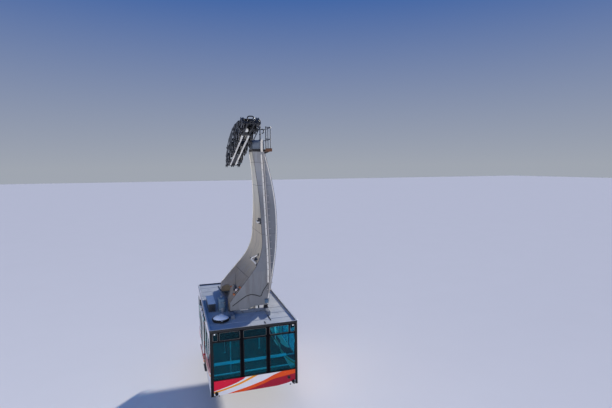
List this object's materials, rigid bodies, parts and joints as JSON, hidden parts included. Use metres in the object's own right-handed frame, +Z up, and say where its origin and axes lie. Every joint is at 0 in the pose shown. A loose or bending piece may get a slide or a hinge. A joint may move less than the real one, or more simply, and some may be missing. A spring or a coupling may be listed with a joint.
{
  "type": "aerial cable car with hanger and carriage",
  "caption": "Reversible aerial cable car: long glazed cabin with sliding side doors under a curved box hanger and a grooved-wheel carriage for a pair of track ropes.",
  "frame": {"origin": "midway between the two track ropes' centre lines, at the carriage's mid-length", "axes": "+X to the right across the ropes, +Y down the line, +Z up; the ropes fall 16.7 degrees towards +Y"},
  "size_m": [3.696, 6.94, 11.065],
  "materials": {
    "carriage_paint": "satin black",
    "wheel_steel": "worn",
    "galvanised": "galvanised",
    "hanger_paint": "satin grey",
    "dark_steel": "satin",
    "rubber": "matte",
    "roof_paint": "matte",
    "frame_black": "gloss black",
    "side_paint": "gloss white",
    "livery": "gloss striped",
    "tinted_glass": "tinted",
    "floor_grey": "studded",
    "handrail_steel": "brushed"
  },
  "bodies": {
    "carriage": {"main_beams": "carriage_paint", "bogie_beams": "carriage_paint", "wheel_rockers": "carriage_paint", "main_axle": "galvanised", "rope_brakes": "galvanised", "rope_brake_jaws": "galvanised", "end_frames": "carriage_paint", "haul_rope_sockets": "galvanised", "carriage_lamp": "carriage_paint"},
    "cabin": {"hanger_arm": "hanger_paint", "hanger_head": "hanger_paint", "hanger_feet": "dark_steel", "roof_beams": "galvanised", "access_platform": "galvanised", "platform_railing": "galvanised", "hanger_ladder": "galvanised", "cable_duct": "galvanised", "power_cable": "rubber", "roof_panel": "roof_paint", "roof_vent_box": "roof_paint", "roof_tank": "roof_paint", "corner_posts": "frame_black", "near_end_frame": "frame_black", "far_end_frame": "frame_black", "end_glass": "tinted_glass", "end_skirts": "livery", "left_side_frame": "side_paint", "right_side_frame": "side_paint", "side_glass": "tinted_glass", "side_skirts": "livery", "door_rails": "dark_steel", "floor_panel": "floor_grey", "underframe": "dark_steel", "interior_handrails": "handrail_steel", "corner_bumpers": "rubber"},
    "left_wheel_1": {"left_wheel_1": "wheel_steel"},
    "left_wheel_2": {"left_wheel_2": "wheel_steel"},
    "left_wheel_3": {"left_wheel_3": "wheel_steel"},
    "left_wheel_4": {"left_wheel_4": "wheel_steel"},
    "left_wheel_5": {"left_wheel_5": "wheel_steel"},
    "left_wheel_6": {"left_wheel_6": "wheel_steel"},
    "left_wheel_7": {"left_wheel_7": "wheel_steel"},
    "left_wheel_8": {"left_wheel_8": "wheel_steel"},
    "right_wheel_1": {"right_wheel_1": "wheel_steel"},
    "right_wheel_2": {"right_wheel_2": "wheel_steel"},
    "right_wheel_3": {"right_wheel_3": "wheel_steel"},
    "right_wheel_4": {"right_wheel_4": "wheel_steel"},
    "right_wheel_5": {"right_wheel_5": "wheel_steel"},
    "right_wheel_6": {"right_wheel_6": "wheel_steel"},
    "right_wheel_7": {"right_wheel_7": "wheel_steel"},
    "right_wheel_8": {"right_wheel_8": "wheel_steel"},
    "left_near_door": {"left_near_door": "side_paint", "left_near_door_glass": "tinted_glass"},
    "left_far_door": {"left_far_door": "side_paint", "left_far_door_glass": "tinted_glass"},
    "right_near_door": {"right_near_door": "side_paint", "right_near_door_glass": "tinted_glass"},
    "right_far_door": {"right_far_door": "side_paint", "right_far_door_glass": "tinted_glass"},
    "roof_hatch_lid": {"roof_hatch_lid": "roof_paint"}
  },
  "joints": [
    {"name": "hanger_swing", "type": "hinge", "parent": "carriage", "child": "cabin", "pos_m": [0.6, 0.0546, 0.18199], "axis": [1, 0, 0], "range_deg": [-17, 18]},
    {"name": "left_wheel_1_spin", "type": "hinge", "parent": "carriage", "child": "left_wheel_1", "pos_m": [-0.31, -2.35768, 0.91092], "axis": [1, 0, 0], "continuous": true},
    {"name": "left_wheel_2_spin", "type": "hinge", "parent": "carriage", "child": "left_wheel_2", "pos_m": [-0.31, -1.66804, 0.70402], "axis": [1, 0, 0], "continuous": true},
    {"name": "left_wheel_3_spin", "type": "hinge", "parent": "carriage", "child": "left_wheel_3", "pos_m": [-0.31, -0.97841, 0.49712], "axis": [1, 0, 0], "continuous": true},
    {"name": "left_wheel_4_spin", "type": "hinge", "parent": "carriage", "child": "left_wheel_4", "pos_m": [-0.31, -0.28878, 0.29023], "axis": [1, 0, 0], "continuous": true},
    {"name": "left_wheel_5_spin", "type": "hinge", "parent": "carriage", "child": "left_wheel_5", "pos_m": [-0.31, 0.40085, 0.08333], "axis": [1, 0, 0], "continuous": true},
    {"name": "left_wheel_6_spin", "type": "hinge", "parent": "carriage", "child": "left_wheel_6", "pos_m": [-0.31, 1.09048, -0.12357], "axis": [1, 0, 0], "continuous": true},
    {"name": "left_wheel_7_spin", "type": "hinge", "parent": "carriage", "child": "left_wheel_7", "pos_m": [-0.31, 1.78012, -0.33047], "axis": [1, 0, 0], "continuous": true},
    {"name": "left_wheel_8_spin", "type": "hinge", "parent": "carriage", "child": "left_wheel_8", "pos_m": [-0.31, 2.46975, -0.53737], "axis": [1, 0, 0], "continuous": true},
    {"name": "right_wheel_1_spin", "type": "hinge", "parent": "carriage", "child": "right_wheel_1", "pos_m": [0.31, -2.35768, 0.91092], "axis": [1, 0, 0], "continuous": true},
    {"name": "right_wheel_2_spin", "type": "hinge", "parent": "carriage", "child": "right_wheel_2", "pos_m": [0.31, -1.66804, 0.70402], "axis": [1, 0, 0], "continuous": true},
    {"name": "right_wheel_3_spin", "type": "hinge", "parent": "carriage", "child": "right_wheel_3", "pos_m": [0.31, -0.97841, 0.49712], "axis": [1, 0, 0], "continuous": true},
    {"name": "right_wheel_4_spin", "type": "hinge", "parent": "carriage", "child": "right_wheel_4", "pos_m": [0.31, -0.28878, 0.29023], "axis": [1, 0, 0], "continuous": true},
    {"name": "right_wheel_5_spin", "type": "hinge", "parent": "carriage", "child": "right_wheel_5", "pos_m": [0.31, 0.40085, 0.08333], "axis": [1, 0, 0], "continuous": true},
    {"name": "right_wheel_6_spin", "type": "hinge", "parent": "carriage", "child": "right_wheel_6", "pos_m": [0.31, 1.09048, -0.12357], "axis": [1, 0, 0], "continuous": true},
    {"name": "right_wheel_7_spin", "type": "hinge", "parent": "carriage", "child": "right_wheel_7", "pos_m": [0.31, 1.78012, -0.33047], "axis": [1, 0, 0], "continuous": true},
    {"name": "right_wheel_8_spin", "type": "hinge", "parent": "carriage", "child": "right_wheel_8", "pos_m": [0.31, 2.46975, -0.53737], "axis": [1, 0, 0], "continuous": true},
    {"name": "left_near_door_slide", "type": "slide", "parent": "cabin", "child": "left_near_door", "axis": [0, -1, 0], "range_m": [0, 0.69]},
    {"name": "left_far_door_slide", "type": "slide", "parent": "cabin", "child": "left_far_door", "axis": [0, 1, 0], "range_m": [0, 0.69]},
    {"name": "right_near_door_slide", "type": "slide", "parent": "cabin", "child": "right_near_door", "axis": [0, -1, 0], "range_m": [0, 0.69]},
    {"name": "right_far_door_slide", "type": "slide", "parent": "cabin", "child": "right_far_door", "axis": [0, 1, 0], "range_m": [0, 0.69]},
    {"name": "roof_hatch_hinge", "type": "hinge", "parent": "cabin", "child": "roof_hatch_lid", "pos_m": [-1.325, -2.6024, -7.06671], "axis": [1, 0, 0], "range_deg": [0, 105]}
  ],
  "couplings": [
    {"joint": "left_far_door_slide", "follows": "left_near_door_slide", "ratio": 1},
    {"joint": "right_far_door_slide", "follows": "right_near_door_slide", "ratio": 1}
  ]
}
